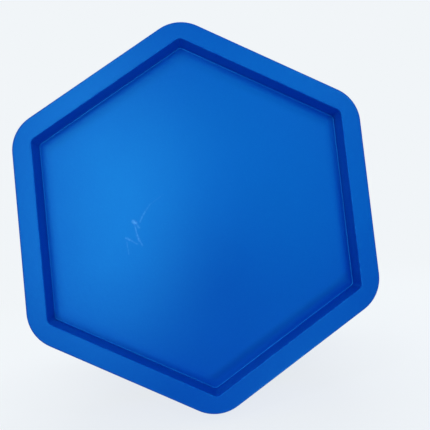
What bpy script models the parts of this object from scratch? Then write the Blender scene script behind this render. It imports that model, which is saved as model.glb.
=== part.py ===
"""Hexagonal rock tumbling barrel with an expanding lid, lying on its two round track rings.

World frame: metres, +Z up, +Y along the barrel's axis from the closed end to the lid. The origin is the
centre of the object's bounding box. Every part is modelled upright in the barrel's own frame, whose +Z runs
along the axis and whose zero is the rim plane of the closed end. A height in that frame is called a station
here. The empty barrel_axis lays the whole assembly down.
"""

import math

import bmesh
import bpy
from mathutils import Matrix, Vector

GAP = 0.0003

# Shell: a moulded hexagonal tub. An apothem is the distance from the axis to a flat.
APOTHEM = 0.108
CORNER_RADIUS = 0.024
SHELL_LENGTH = 0.236
EDGE_FILLET = 0.002
RIM_WIDTH = 0.012
RECESS_DEPTH = 0.012
RECESS_CORNER_RADIUS = 0.0039
RECESS_DRAFT = 0.0008
RECESS_FILLET = 0.0016
SHELL_FLOOR = 0.006
SHELL_WALL = 0.006
CAVITY_CORNER_RADIUS = 0.046

# Liner
LINER_WALL = 0.005
LINER_FLOOR = 0.006
FLANGE_THICKNESS = 0.003
FLANGE_INSET = 0.001

# Mouth plate
PLATE_THICKNESS = 0.008
MOUTH_RADIUS = 0.072
COLLAR_RADIUS = 0.084
COLLAR_HEIGHT = 0.0124
RIB_WIDTH = 0.005
RIB_HEIGHT = 0.006
RIB_END_RADIUS = 0.108

# Track rings and tyres. A ring's own frame has its zero at the inboard face and +Z pointing outboard.
RING_RADIUS = 0.125
RING_WIDTH = 0.020
RING_WEB = 0.006
RING_RIM = 0.004
RING_SLEEVE = 0.004
RING_LIP = 0.0012
RING_LIP_WIDTH = 0.002
TYRE_RADIUS = 0.128
TYRE_CHAMFER = 0.0008
FRONT_RING_STATION = 0.084
REAR_RING_STATION = 0.164

# Screw bosses, one for each ring screw, on the middle of the shell's flats
BOSS_WIDTH = 0.015
BOSS_REACH = 0.121
BOSS_LENGTH = 0.018
BOSS_ROOT = 0.003
BOSS_FILLET = 0.003

# Button-head screws
SCREW_RADIUS = 0.002
SCREW_HEAD_RADIUS = 0.0038
SCREW_HEAD_HEIGHT = 0.0033
SCREW_HEAD_EDGE = 0.0013
SCREW_CROWN_RADIUS = 0.0028
SOCKET_RADIUS = 0.0016
SOCKET_DEPTH = 0.002
HOLE_RADIUS = SCREW_RADIUS + GAP
RING_SCREW_LENGTH = 0.018
RING_SCREW_CIRCLE = 0.1166
MOUTH_SCREW_LENGTH = 0.030
MOUTH_SCREW_CIRCLE = 0.1155
HOLE_EXTRA_DEPTH = 0.003

# Lid
SEAL_RADIUS = MOUTH_RADIUS - GAP
SEAL_LIP_RADIUS = 0.080
SEAL_LIP_THICKNESS = 0.004
SEAL_WEB = 0.006
SEAL_WALL_RADIUS = 0.056
SEAL_WALL_SLOPE = 0.002
SEAL_SETBACK = 0.004
INNER_PLATE_RADIUS = 0.064
INNER_PLATE_THICKNESS = 0.003
COVER_RADIUS = 0.078
COVER_THICKNESS = 0.002
DISH_RADIUS = 0.048
DISH_SLOPE = 0.006
STUD_RADIUS = 0.004
STUD_LENGTH = 0.040
STUD_HEAD_RADIUS = 0.009
STUD_HEAD_HEIGHT = 0.004
STUD_HEAD_EDGE = 0.0012
STUD_HEAD_CROWN_RADIUS = 0.0054
STUD_CHAMFER = 0.0005
STUD_HOLE_RADIUS = 0.0045
RUBBER_WASHER_RADIUS = 0.013
RUBBER_WASHER_THICKNESS = 0.002
STEEL_WASHER_RADIUS = 0.012
STEEL_WASHER_THICKNESS = 0.0016

# Knob
HUB_RADIUS = 0.014
HUB_HEIGHT = 0.0096
KNOB_RADIUS = 0.028
KNOB_HEIGHT = 0.022
KNOB_EDGE = 0.003
SCALLOP_COUNT = 6
SCALLOP_RADIUS = 0.009
SCALLOP_CIRCLE = 0.032
INSERT_RADIUS = 0.007
INSERT_BORE = 0.0043
INSERT_LENGTH = 0.0203
KNOB_BORE_RADIUS = 0.005
KNOB_BORE_DEPTH = 0.0266

# Stations of the stacked parts, each a gap above the one before it
FLANGE_STATION = SHELL_LENGTH + GAP
PLATE_STATION = FLANGE_STATION + FLANGE_THICKNESS + GAP
PLATE_TOP = PLATE_STATION + PLATE_THICKNESS
COLLAR_TOP = PLATE_TOP + COLLAR_HEIGHT
SEAL_STATION = PLATE_STATION + SEAL_SETBACK
SEAL_WEB_TOP = SEAL_STATION + SEAL_WEB
SEAL_LIP_STATION = COLLAR_TOP + GAP
SEAL_TOP = SEAL_LIP_STATION + SEAL_LIP_THICKNESS
INNER_PLATE_STATION = SEAL_STATION - GAP - INNER_PLATE_THICKNESS
STUD_SHOULDER = INNER_PLATE_STATION - GAP
DISH_STATION = SEAL_WEB_TOP + GAP
COVER_RIM_STATION = SEAL_TOP + GAP
RUBBER_WASHER_STATION = DISH_STATION + COVER_THICKNESS + GAP
STEEL_WASHER_STATION = RUBBER_WASHER_STATION + RUBBER_WASHER_THICKNESS + GAP
KNOB_STATION = STEEL_WASHER_STATION + STEEL_WASHER_THICKNESS + GAP
OVERALL_LENGTH = KNOB_STATION + HUB_HEIGHT + KNOB_HEIGHT

# Facets
CORNER_STEPS = 6
LARGE_STEPS = 60
SMALL_STEPS = 16
WASHER_STEPS = 32
KNOB_STEPS = 36
SCALLOP_STEPS = 20
SCREW_STEPS = 12
SOCKET_SIDES = 6
BOSS_FILLET_STEPS = 3
FLATS = 6
FLAT_ANGLE = math.radians(60)
HALF_FLAT_ANGLE = FLAT_ANGLE / 2
MERGE_DISTANCE = 0.00001
WELD_DISTANCE = 0.000001
OVERSHOOT = 0.002

MATERIALS = {
    "moulded_blue": ((0.010, 0.140, 0.550), 0.42, 0.0),
    "liner_rubber": ((0.018, 0.018, 0.019), 0.75, 0.0),
    "tyre_rubber": ((0.022, 0.022, 0.023), 0.80, 0.0),
    "zinc_steel": ((0.560, 0.570, 0.580), 0.35, 1.0),
    "brass": ((0.700, 0.480, 0.180), 0.35, 1.0),
    "knob_black": ((0.016, 0.016, 0.017), 0.50, 0.0),
}


def clear_scene():
    for old in list(bpy.data.objects):
        bpy.data.objects.remove(old)


def new_collection(name):
    collection = bpy.data.collections.new(name)
    bpy.context.scene.collection.children.link(collection)
    return collection


def new_material(name):
    colour, roughness, metallic = MATERIALS[name]
    material = bpy.data.materials.new(name)
    material.use_nodes = True
    shader = material.node_tree.nodes["Principled BSDF"]
    shader.inputs["Base Color"].default_value = (*colour, 1.0)
    shader.inputs["Roughness"].default_value = roughness
    shader.inputs["Metallic"].default_value = metallic
    return material


clear_scene()
MODEL = new_collection("rock_tumbler_barrel")
CUTTERS = new_collection("cutters")
MATERIAL = {name: new_material(name) for name in MATERIALS}


def add_empty(name, parent, station, flip=False):
    """An empty on the barrel's axis; flip turns its +Z to point towards the closed end."""
    empty = bpy.data.objects.new(name, None)
    MODEL.objects.link(empty)
    empty.parent = parent
    empty.location = (0.0, 0.0, station)
    if flip:
        empty.rotation_euler = (math.pi, 0.0, 0.0)
    return empty


def add_barrel_axis():
    """Lays the upright barrel frame along world +Y, with the middle of its length at the origin."""
    empty = add_empty("barrel_axis", None, 0.0)
    empty.location = (0.0, -OVERALL_LENGTH / 2, 0.0)
    empty.rotation_euler = (-math.pi / 2, 0.0, 0.0)
    return empty


def add_part(name, mesh, material, parent):
    part = bpy.data.objects.new(name, mesh)
    MODEL.objects.link(part)
    part.parent = parent
    if not mesh.materials:
        mesh.materials.append(MATERIAL[material])
    return part


def add_cutter(name, mesh, parent):
    cutter = bpy.data.objects.new(name, mesh)
    CUTTERS.objects.link(cutter)
    cutter.parent = parent
    cutter.hide_render = True
    cutter.display_type = "WIRE"
    return cutter


def combine(part, other, operation):
    """operation is DIFFERENCE to cut other away from part, or UNION to join it on."""
    modifier = part.modifiers.new(other.name, "BOOLEAN")
    modifier.operation = operation
    modifier.solver = "EXACT"
    modifier.object = other


def polar(radius, angle):
    return Vector((radius * math.cos(angle), radius * math.sin(angle)))


def hexagon_outline(apothem, corner_radius):
    """Points round a hexagon with rounded corners, whose flats face 0, 60, 120 ... degrees."""
    centre_distance = (apothem - corner_radius) / math.cos(HALF_FLAT_ANGLE)
    points = []
    for flat in range(FLATS):
        middle = flat * FLAT_ANGLE + HALF_FLAT_ANGLE
        for step in range(CORNER_STEPS + 1):
            angle = middle + FLAT_ANGLE * (step / CORNER_STEPS - 0.5)
            points.append(polar(centre_distance, middle) + polar(corner_radius, angle))
    return points


def mesh_of(thing):
    """The object's evaluated shape as a welded, outward-facing mesh. The object itself is removed."""
    bpy.context.view_layer.update()
    evaluated = thing.evaluated_get(bpy.context.evaluated_depsgraph_get())
    mesh = bpy.data.meshes.new_from_object(evaluated)
    bpy.data.objects.remove(thing)
    work = bmesh.new()
    work.from_mesh(mesh)
    bmesh.ops.remove_doubles(work, verts=work.verts, dist=WELD_DISTANCE)
    bmesh.ops.recalc_face_normals(work, faces=work.faces)
    work.to_mesh(mesh)
    work.free()
    return mesh


def hexagon_block(name, apothem, corner_radius, bottom, top, fillet=0.0, draft=0.0):
    """A solid hexagonal prism. draft is how much its apothem shrinks from bottom to top."""
    curve = bpy.data.curves.new(name, "CURVE")
    curve.dimensions = "2D"
    curve.fill_mode = "BOTH"
    curve.extrude = (top - bottom) / 2 - fillet
    curve.bevel_depth = fillet
    curve.bevel_resolution = 1
    outline = hexagon_outline(apothem - fillet, corner_radius - fillet)
    spline = curve.splines.new("POLY")
    spline.points.add(len(outline) - 1)
    spline.use_cyclic_u = True
    for point, place in zip(spline.points, outline):
        point.co = (place.x, place.y, 0.0, 1.0)
    guide = bpy.data.objects.new(name, curve)
    CUTTERS.objects.link(guide)
    mesh = mesh_of(guide)
    mesh.transform(Matrix.Translation((0.0, 0.0, (bottom + top) / 2)))
    for vertex in mesh.vertices:
        rise = (vertex.co.z - bottom) / (top - bottom)
        vertex.co.xy *= 1.0 - rise * draft / apothem
    return mesh


def profile_mesh(name, profile, closed):
    """The outline of a turned part as (radius, height) points, running down its outer side."""
    mesh = bpy.data.meshes.new(name)
    vertices = [(radius, 0.0, height) for radius, height in profile]
    edges = [(i, i + 1) for i in range(len(profile) - 1)]
    if closed:
        edges.append((len(profile) - 1, 0))
    mesh.from_pydata(vertices, edges, [])
    return mesh


def turn(part, steps):
    modifier = part.modifiers.new("turn", "SCREW")
    modifier.axis = "Z"
    modifier.angle = math.tau
    modifier.steps = steps
    modifier.render_steps = steps
    modifier.use_merge_vertices = True
    modifier.merge_threshold = MERGE_DISTANCE
    modifier.use_smooth_shade = True


def turned_part(name, profile, material, parent, steps=LARGE_STEPS):
    """A turned solid. A profile that starts and ends on the axis is open; any other is a ring."""
    closed = profile[0][0] > 0.0
    part = add_part(name, profile_mesh(name, profile, closed), material, parent)
    turn(part, steps)
    return part


def turned_cutter(name, profile, parent, steps=LARGE_STEPS):
    closed = profile[0][0] > 0.0
    cutter = add_cutter(name, profile_mesh(name, profile, closed), parent)
    turn(cutter, steps)
    return cutter


def rod_profile(radius, bottom, top):
    return [(0.0, top), (radius, top), (radius, bottom), (0.0, bottom)]


def ring_profile(outer, inner, bottom, top):
    return [(outer, top), (outer, bottom), (inner, bottom), (inner, top)]


def block_mesh(name, size, centre):
    mesh = bpy.data.meshes.new(name)
    work = bmesh.new()
    bmesh.ops.create_cube(work, size=1.0)
    bmesh.ops.scale(work, vec=size, verts=work.verts)
    bmesh.ops.translate(work, vec=centre, verts=work.verts)
    work.to_mesh(mesh)
    work.free()
    return mesh


def drill(part, name, parent, circle, first_angle, radius, bottom, top):
    """Six holes parallel to the axis, one for each flat or corner."""
    for index in range(FLATS):
        angle = first_angle + index * FLAT_ANGLE
        hole = turned_cutter(f"{name}_{index + 1}", rod_profile(radius, bottom, top), parent, SCREW_STEPS)
        hole.location = (*polar(circle, angle), 0.0)
        hole.rotation_euler = (0.0, 0.0, angle)
        combine(part, hole, "DIFFERENCE")


def screw_mesh(name, length):
    """A button-head socket screw, head up, with the head's underside at zero."""
    profile = [
        (0.0, SCREW_HEAD_HEIGHT),
        (SCREW_CROWN_RADIUS, SCREW_HEAD_HEIGHT),
        (SCREW_HEAD_RADIUS, SCREW_HEAD_EDGE),
        (SCREW_HEAD_RADIUS, 0.0),
        (SCREW_RADIUS, 0.0),
        (SCREW_RADIUS, -length),
        (0.0, -length),
    ]
    screw = turned_part(name, profile, "zinc_steel", None, SCREW_STEPS)
    floor = SCREW_HEAD_HEIGHT - SOCKET_DEPTH
    socket = turned_cutter(
        f"{name}_socket", rod_profile(SOCKET_RADIUS, floor, SCREW_HEAD_HEIGHT + OVERSHOOT), None, SOCKET_SIDES
    )
    combine(screw, socket, "DIFFERENCE")
    mesh = mesh_of(screw)
    bpy.data.objects.remove(socket)
    return mesh


def add_screws(name, mesh, parent, circle, first_angle, height):
    for index in range(FLATS):
        angle = first_angle + index * FLAT_ANGLE
        screw = add_part(f"{name}_{index + 1}", mesh, "zinc_steel", parent)
        screw.location = (*polar(circle, angle), height)
        screw.rotation_euler = (0.0, 0.0, angle)


def boss_mesh():
    """One screw boss in a ring's frame, on the flat that faces +X, with its two outer edges rounded."""
    root = APOTHEM - BOSS_ROOT
    size = (BOSS_REACH - root, BOSS_WIDTH, BOSS_LENGTH)
    centre = ((BOSS_REACH + root) / 2, 0.0, -GAP - BOSS_LENGTH / 2)
    mesh = block_mesh("boss", size, centre)
    work = bmesh.new()
    work.from_mesh(mesh)
    outer_edges = [
        edge
        for edge in work.edges
        if all(vertex.co.x > BOSS_REACH - OVERSHOOT for vertex in edge.verts)
        and edge.verts[0].co.y * edge.verts[1].co.y > 0.0
    ]
    bmesh.ops.bevel(
        work,
        geom=outer_edges,
        offset=BOSS_FILLET,
        segments=BOSS_FILLET_STEPS,
        profile=0.5,
        affect="EDGES",
    )
    work.to_mesh(mesh)
    work.free()
    return mesh


def add_bosses(shell, name, ring_frame):
    mesh = boss_mesh()
    for flat in range(FLATS):
        boss = add_cutter(f"{name}_boss_{flat + 1}", mesh, ring_frame)
        boss.rotation_euler = (0.0, 0.0, flat * FLAT_ANGLE)
        combine(shell, boss, "UNION")
    depth = RING_SCREW_LENGTH - RING_WEB + HOLE_EXTRA_DEPTH
    drill(shell, f"{name}_boss_hole", ring_frame, RING_SCREW_CIRCLE, 0.0, HOLE_RADIUS, -depth, OVERSHOOT)


def add_shell(axis, ring_frames):
    shell = add_part(
        "barrel_shell",
        hexagon_block("barrel_shell", APOTHEM, CORNER_RADIUS, 0.0, SHELL_LENGTH, EDGE_FILLET),
        "moulded_blue",
        axis,
    )
    recess = hexagon_block(
        "recess",
        APOTHEM - RIM_WIDTH,
        RECESS_CORNER_RADIUS,
        -OVERSHOOT,
        RECESS_DEPTH,
        RECESS_FILLET,
        RECESS_DRAFT,
    )
    combine(shell, add_cutter("recess", recess, axis), "DIFFERENCE")
    cavity = hexagon_block(
        "cavity",
        APOTHEM - SHELL_WALL,
        CAVITY_CORNER_RADIUS,
        RECESS_DEPTH + SHELL_FLOOR,
        SHELL_LENGTH + OVERSHOOT,
    )
    combine(shell, add_cutter("cavity", cavity, axis), "DIFFERENCE")
    for name, ring_frame in ring_frames.items():
        add_bosses(shell, name, ring_frame)
    tip = PLATE_TOP + GAP - MOUTH_SCREW_LENGTH
    drill(
        shell,
        "shell_mouth_hole",
        axis,
        MOUTH_SCREW_CIRCLE,
        HALF_FLAT_ANGLE,
        HOLE_RADIUS,
        tip - HOLE_EXTRA_DEPTH,
        SHELL_LENGTH + OVERSHOOT,
    )


def add_liner(axis):
    """A tub inside the shell's cavity, with a flange over the shell's end that seals the mouth plate."""
    outer_apothem = APOTHEM - SHELL_WALL - GAP
    outer_corner = CAVITY_CORNER_RADIUS - GAP
    floor = RECESS_DEPTH + SHELL_FLOOR + GAP
    top = FLANGE_STATION + FLANGE_THICKNESS
    liner = add_part(
        "barrel_liner",
        hexagon_block("barrel_liner", outer_apothem, outer_corner, floor, top),
        "liner_rubber",
        axis,
    )
    flange = hexagon_block(
        "liner_flange", APOTHEM - FLANGE_INSET, CORNER_RADIUS - FLANGE_INSET, FLANGE_STATION, top
    )
    combine(liner, add_cutter("liner_flange", flange, axis), "UNION")
    hollow = hexagon_block(
        "liner_hollow",
        outer_apothem - LINER_WALL,
        outer_corner - LINER_WALL,
        floor + LINER_FLOOR,
        top + OVERSHOOT,
    )
    combine(liner, add_cutter("liner_hollow", hollow, axis), "DIFFERENCE")
    drill(
        liner,
        "flange_hole",
        axis,
        MOUTH_SCREW_CIRCLE,
        HALF_FLAT_ANGLE,
        HOLE_RADIUS,
        FLANGE_STATION - OVERSHOOT,
        top + OVERSHOOT,
    )


def add_mouth_plate(axis):
    """The end plate with its round collar and six ribs that run out to the corner screws."""
    plate = add_part(
        "mouth_plate",
        hexagon_block("mouth_plate", APOTHEM, CORNER_RADIUS, PLATE_STATION, PLATE_TOP, EDGE_FILLET),
        "moulded_blue",
        axis,
    )
    middle = (PLATE_STATION + PLATE_TOP) / 2
    collar = turned_cutter("collar", rod_profile(COLLAR_RADIUS, middle, COLLAR_TOP), axis)
    combine(plate, collar, "UNION")
    start = COLLAR_RADIUS - OVERSHOOT
    rib_size = (RIB_END_RADIUS - start, RIB_WIDTH, RIB_HEIGHT + PLATE_TOP - middle)
    rib_centre = ((RIB_END_RADIUS + start) / 2, 0.0, middle + rib_size[2] / 2)
    rib_mesh = block_mesh("rib", rib_size, rib_centre)
    for index in range(FLATS):
        rib = add_cutter(f"rib_{index + 1}", rib_mesh, axis)
        rib.rotation_euler = (0.0, 0.0, HALF_FLAT_ANGLE + index * FLAT_ANGLE)
        combine(plate, rib, "UNION")
    bore = rod_profile(MOUTH_RADIUS, PLATE_STATION - OVERSHOOT, COLLAR_TOP + OVERSHOOT)
    combine(plate, turned_cutter("mouth_bore", bore, axis), "DIFFERENCE")
    drill(
        plate,
        "plate_hole",
        axis,
        MOUTH_SCREW_CIRCLE,
        HALF_FLAT_ANGLE,
        HOLE_RADIUS,
        PLATE_STATION - OVERSHOOT,
        PLATE_TOP + OVERSHOOT,
    )


def add_track_ring(name, ring_frame):
    """A round ring on the hexagon: a rim, a web with the screw holes, and a sleeve along each flat."""
    lip_radius = RING_RADIUS + RING_LIP
    profile = [
        (0.0, RING_WIDTH),
        (lip_radius, RING_WIDTH),
        (lip_radius, RING_WIDTH - RING_LIP_WIDTH),
        (RING_RADIUS, RING_WIDTH - RING_LIP_WIDTH),
        (RING_RADIUS, RING_LIP_WIDTH),
        (lip_radius, RING_LIP_WIDTH),
        (lip_radius, 0.0),
        (0.0, 0.0),
    ]
    ring = turned_part(f"track_ring_{name}", profile, "moulded_blue", ring_frame)
    bore = hexagon_block(
        f"{name}_ring_bore", APOTHEM + GAP, CORNER_RADIUS + GAP, -OVERSHOOT, RING_WIDTH + OVERSHOOT
    )
    combine(ring, add_cutter(f"{name}_ring_bore", bore, ring_frame), "DIFFERENCE")
    pocket_profile = rod_profile(RING_RADIUS - RING_RIM, RING_WEB, RING_WIDTH + OVERSHOOT)
    pocket = turned_cutter(f"{name}_ring_pocket", pocket_profile, ring_frame)
    sleeve = hexagon_block(
        f"{name}_ring_sleeve",
        APOTHEM + GAP + RING_SLEEVE,
        CORNER_RADIUS + GAP + RING_SLEEVE,
        0.0,
        RING_WIDTH + 2 * OVERSHOOT,
    )
    combine(pocket, add_cutter(f"{name}_ring_sleeve", sleeve, ring_frame), "DIFFERENCE")
    combine(ring, pocket, "DIFFERENCE")
    drill(
        ring,
        f"{name}_web_hole",
        ring_frame,
        RING_SCREW_CIRCLE,
        0.0,
        HOLE_RADIUS,
        -OVERSHOOT,
        RING_WEB + OVERSHOOT,
    )


def add_tyre(name, ring_frame):
    bottom = RING_LIP_WIDTH + GAP
    top = RING_WIDTH - bottom
    shoulder = TYRE_RADIUS - TYRE_CHAMFER
    inner = RING_RADIUS + GAP
    profile = [
        (shoulder, top),
        (TYRE_RADIUS, top - TYRE_CHAMFER),
        (TYRE_RADIUS, bottom + TYRE_CHAMFER),
        (shoulder, bottom),
        (inner, bottom),
        (inner, top),
    ]
    turned_part(f"tyre_{name}", profile, "tyre_rubber", ring_frame)


def add_seal(axis):
    profile = [
        (SEAL_LIP_RADIUS, SEAL_TOP),
        (SEAL_LIP_RADIUS, SEAL_LIP_STATION),
        (SEAL_RADIUS, SEAL_LIP_STATION),
        (SEAL_RADIUS, SEAL_STATION),
        (STUD_HOLE_RADIUS, SEAL_STATION),
        (STUD_HOLE_RADIUS, SEAL_WEB_TOP),
        (SEAL_WALL_RADIUS, SEAL_WEB_TOP),
        (SEAL_WALL_RADIUS + SEAL_WALL_SLOPE, SEAL_TOP),
    ]
    turned_part("lid_seal", profile, "liner_rubber", axis)


def add_inner_plate(axis):
    top = INNER_PLATE_STATION + INNER_PLATE_THICKNESS
    profile = ring_profile(INNER_PLATE_RADIUS, STUD_HOLE_RADIUS, INNER_PLATE_STATION, top)
    turned_part("lid_inner_plate", profile, "zinc_steel", axis)


def add_stud(axis):
    """A carriage bolt: a low domed head inside the barrel, and a shank out through the lid."""
    head_bottom = STUD_SHOULDER - STUD_HEAD_HEIGHT
    profile = [
        (0.0, STUD_SHOULDER + STUD_LENGTH),
        (STUD_RADIUS - STUD_CHAMFER, STUD_SHOULDER + STUD_LENGTH),
        (STUD_RADIUS, STUD_SHOULDER + STUD_LENGTH - STUD_CHAMFER),
        (STUD_RADIUS, STUD_SHOULDER),
        (STUD_HEAD_RADIUS, STUD_SHOULDER),
        (STUD_HEAD_RADIUS, STUD_SHOULDER - STUD_HEAD_EDGE),
        (STUD_HEAD_CROWN_RADIUS, head_bottom),
        (0.0, head_bottom),
    ]
    turned_part("lid_stud", profile, "zinc_steel", axis, SMALL_STEPS)


def add_cover(axis):
    """A pressed steel disc: a flat rim on the seal's lip, and a dish that holds the knob's base."""
    slope_radius = DISH_RADIUS + DISH_SLOPE
    rim_top = COVER_RIM_STATION + COVER_THICKNESS
    dish_top = DISH_STATION + COVER_THICKNESS
    profile = [
        (COVER_RADIUS, rim_top),
        (COVER_RADIUS, COVER_RIM_STATION),
        (slope_radius, COVER_RIM_STATION),
        (DISH_RADIUS, DISH_STATION),
        (STUD_HOLE_RADIUS, DISH_STATION),
        (STUD_HOLE_RADIUS, dish_top),
        (DISH_RADIUS - COVER_THICKNESS / 2, dish_top),
        (slope_radius - COVER_THICKNESS, rim_top),
    ]
    turned_part("lid_cover", profile, "zinc_steel", axis)


def add_washer(name, material, radius, bottom, thickness, axis):
    profile = ring_profile(radius, STUD_HOLE_RADIUS, bottom, bottom + thickness)
    turned_part(name, profile, material, axis, WASHER_STEPS)


def add_knob(axis):
    """A scalloped hand knob on a round hub, with a stepped blind bore for its insert and the stud."""
    head_bottom = KNOB_STATION + HUB_HEIGHT
    top = head_bottom + KNOB_HEIGHT
    profile = [
        (0.0, top),
        (KNOB_RADIUS - 2 * KNOB_EDGE, top),
        (KNOB_RADIUS - KNOB_EDGE / 2, top - KNOB_EDGE / 2),
        (KNOB_RADIUS, top - 1.5 * KNOB_EDGE),
        (KNOB_RADIUS, head_bottom + KNOB_EDGE),
        (KNOB_RADIUS - KNOB_EDGE, head_bottom),
        (HUB_RADIUS, head_bottom),
        (HUB_RADIUS, KNOB_STATION),
        (0.0, KNOB_STATION),
    ]
    knob = turned_part("knob", profile, "knob_black", axis, KNOB_STEPS)
    for index in range(SCALLOP_COUNT):
        angle = index * math.tau / SCALLOP_COUNT
        scallop_profile = rod_profile(SCALLOP_RADIUS, head_bottom - OVERSHOOT, top + OVERSHOOT)
        scallop = turned_cutter(f"scallop_{index + 1}", scallop_profile, axis, SCALLOP_STEPS)
        scallop.location = (*polar(SCALLOP_CIRCLE, angle), 0.0)
        combine(knob, scallop, "DIFFERENCE")
    insert_top = KNOB_STATION + GAP + INSERT_LENGTH + GAP
    bore_profile = [
        (0.0, KNOB_STATION + KNOB_BORE_DEPTH),
        (KNOB_BORE_RADIUS, KNOB_STATION + KNOB_BORE_DEPTH),
        (KNOB_BORE_RADIUS, insert_top),
        (INSERT_RADIUS + GAP, insert_top),
        (INSERT_RADIUS + GAP, KNOB_STATION - OVERSHOOT),
        (0.0, KNOB_STATION - OVERSHOOT),
    ]
    combine(knob, turned_cutter("knob_bore", bore_profile, axis, SMALL_STEPS), "DIFFERENCE")


def add_insert(axis):
    bottom = KNOB_STATION + GAP
    profile = ring_profile(INSERT_RADIUS, INSERT_BORE, bottom, bottom + INSERT_LENGTH)
    turned_part("knob_insert", profile, "brass", axis, SMALL_STEPS)


def build():
    axis = add_barrel_axis()
    ring_frames = {
        "front": add_empty("front_ring_frame", axis, FRONT_RING_STATION, flip=True),
        "rear": add_empty("rear_ring_frame", axis, REAR_RING_STATION),
    }
    add_shell(axis, ring_frames)
    add_liner(axis)
    add_mouth_plate(axis)
    mouth_screw = screw_mesh("mouth_screw", MOUTH_SCREW_LENGTH)
    add_screws("mouth_screw", mouth_screw, axis, MOUTH_SCREW_CIRCLE, HALF_FLAT_ANGLE, PLATE_TOP + GAP)
    ring_screw = screw_mesh("ring_screw", RING_SCREW_LENGTH)
    for name, ring_frame in ring_frames.items():
        add_track_ring(name, ring_frame)
        add_tyre(name, ring_frame)
        add_screws(f"ring_{name}_screw", ring_screw, ring_frame, RING_SCREW_CIRCLE, 0.0, RING_WEB + GAP)
    add_seal(axis)
    add_inner_plate(axis)
    add_stud(axis)
    add_cover(axis)
    add_washer(
        "stud_seal_washer",
        "liner_rubber",
        RUBBER_WASHER_RADIUS,
        RUBBER_WASHER_STATION,
        RUBBER_WASHER_THICKNESS,
        axis,
    )
    add_washer(
        "flat_washer",
        "zinc_steel",
        STEEL_WASHER_RADIUS,
        STEEL_WASHER_STATION,
        STEEL_WASHER_THICKNESS,
        axis,
    )
    add_knob(axis)
    add_insert(axis)


build()
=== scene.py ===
"""Looks of the hexagonal rock tumbling barrel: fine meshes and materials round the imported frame.

Shapes are modelled upright, in a frame whose +Z runs along the barrel's axis from the closed end's rim
plane. A height in that frame is called a station. LAY_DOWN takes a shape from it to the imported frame, where
the axis is +Y. Lengths are metres.
"""
import math

import bmesh
import bpy
from mathutils import Euler, Matrix, Vector


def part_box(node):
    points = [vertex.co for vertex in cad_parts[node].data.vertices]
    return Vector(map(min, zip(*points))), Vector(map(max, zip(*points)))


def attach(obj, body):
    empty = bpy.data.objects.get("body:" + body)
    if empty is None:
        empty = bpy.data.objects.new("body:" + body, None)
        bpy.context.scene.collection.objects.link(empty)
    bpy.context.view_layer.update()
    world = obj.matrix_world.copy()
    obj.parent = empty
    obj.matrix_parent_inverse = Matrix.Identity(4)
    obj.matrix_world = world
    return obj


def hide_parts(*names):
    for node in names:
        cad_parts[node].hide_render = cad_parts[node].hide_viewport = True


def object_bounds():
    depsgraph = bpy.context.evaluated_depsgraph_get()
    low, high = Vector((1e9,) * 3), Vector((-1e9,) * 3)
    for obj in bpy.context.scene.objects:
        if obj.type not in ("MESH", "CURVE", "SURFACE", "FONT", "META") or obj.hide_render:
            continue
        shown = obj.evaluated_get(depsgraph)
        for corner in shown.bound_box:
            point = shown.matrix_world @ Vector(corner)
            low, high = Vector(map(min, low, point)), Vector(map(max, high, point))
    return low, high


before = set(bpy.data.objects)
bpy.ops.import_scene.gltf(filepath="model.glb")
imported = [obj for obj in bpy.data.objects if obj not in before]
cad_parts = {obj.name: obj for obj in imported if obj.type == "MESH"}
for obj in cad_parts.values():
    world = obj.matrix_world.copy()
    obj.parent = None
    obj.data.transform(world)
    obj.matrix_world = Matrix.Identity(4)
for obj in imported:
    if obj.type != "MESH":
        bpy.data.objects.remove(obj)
cad_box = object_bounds()

# Places and sizes read from the frame
SHELL_LOW, SHELL_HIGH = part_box("barrel_shell")
PLATE_LOW, PLATE_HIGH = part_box("mouth_plate")
RIM_Y = SHELL_LOW.y
APOTHEM = PLATE_HIGH.x
CORNER_REACH = PLATE_HIGH.z
FLAT_ANGLE = math.radians(60)
HALF_FLAT = FLAT_ANGLE / 2
SECANT = 1 / math.cos(HALF_FLAT)
CORNER_RADIUS = (APOTHEM * SECANT - CORNER_REACH) / (SECANT - 1)
COLLAR_TOP = PLATE_HIGH.y - RIM_Y

# Air left between fitted pieces
CLEARANCE = 0.0003

# Closed end
RIM_WIDTH = 0.012
RECESS_DEPTH = 0.012
RECESS_CORNER = 0.0039
RECESS_DRAFT = 0.0008
RIM_OUTER_FILLET = 0.0010
RIM_INNER_FILLET = 0.0005
PANEL_FILLET = 0.0007
TIGHT_CORNER = 0.0006

# The panel's border sinks towards the recess's wall, most of all on the side at GUTTER_SIDE
GUTTER_WIDTH = 0.008
GUTTER_DEPTH = 0.00075
GUTTER_LEAST = 0.2
GUTTER_SIDE = math.radians(40)

# Walls
SHELL_WALL = 0.006
SHELL_FLOOR = 0.006
CAVITY_CORNER = 0.046
MOUTH_FILLET = 0.0015

# Mesh fineness, as points round a corner, along a flat and so on
CORNER_STEPS = 14
FLAT_STEPS = 24
FILLET_STEPS = 5
GUTTER_STEPS = 8
ROUND_STEPS = 144
WASHER_STEPS = 64
SMALL_STEPS = 48

# Points closer than WELD are merged, and faces that lean less than FLAT_TOLERANCE apart are joined
WELD = 0.00002
FLAT_TOLERANCE = 0.002

# Edges sharper than these aren't smoothed over
SHARP_ANGLE = math.radians(35)
BEVELLED_SHARP_ANGLE = math.radians(50)

LAY_DOWN = Matrix.Translation((0.0, RIM_Y, 0.0)) @ Matrix.Rotation(-math.pi / 2, 4, "X")


def station_range(node):
    """A CAD node's lowest and highest stations."""
    low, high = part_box(node)
    return low.y - RIM_Y, high.y - RIM_Y


def node_radius(node):
    """The outer radius of a CAD node turned about the barrel's axis."""
    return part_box(node)[1].z


# ---------------- mesh tools


def polar(radius, angle, station):
    """A point from its distance and direction from the axis."""
    return Vector((radius * math.cos(angle), radius * math.sin(angle), station))


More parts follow.
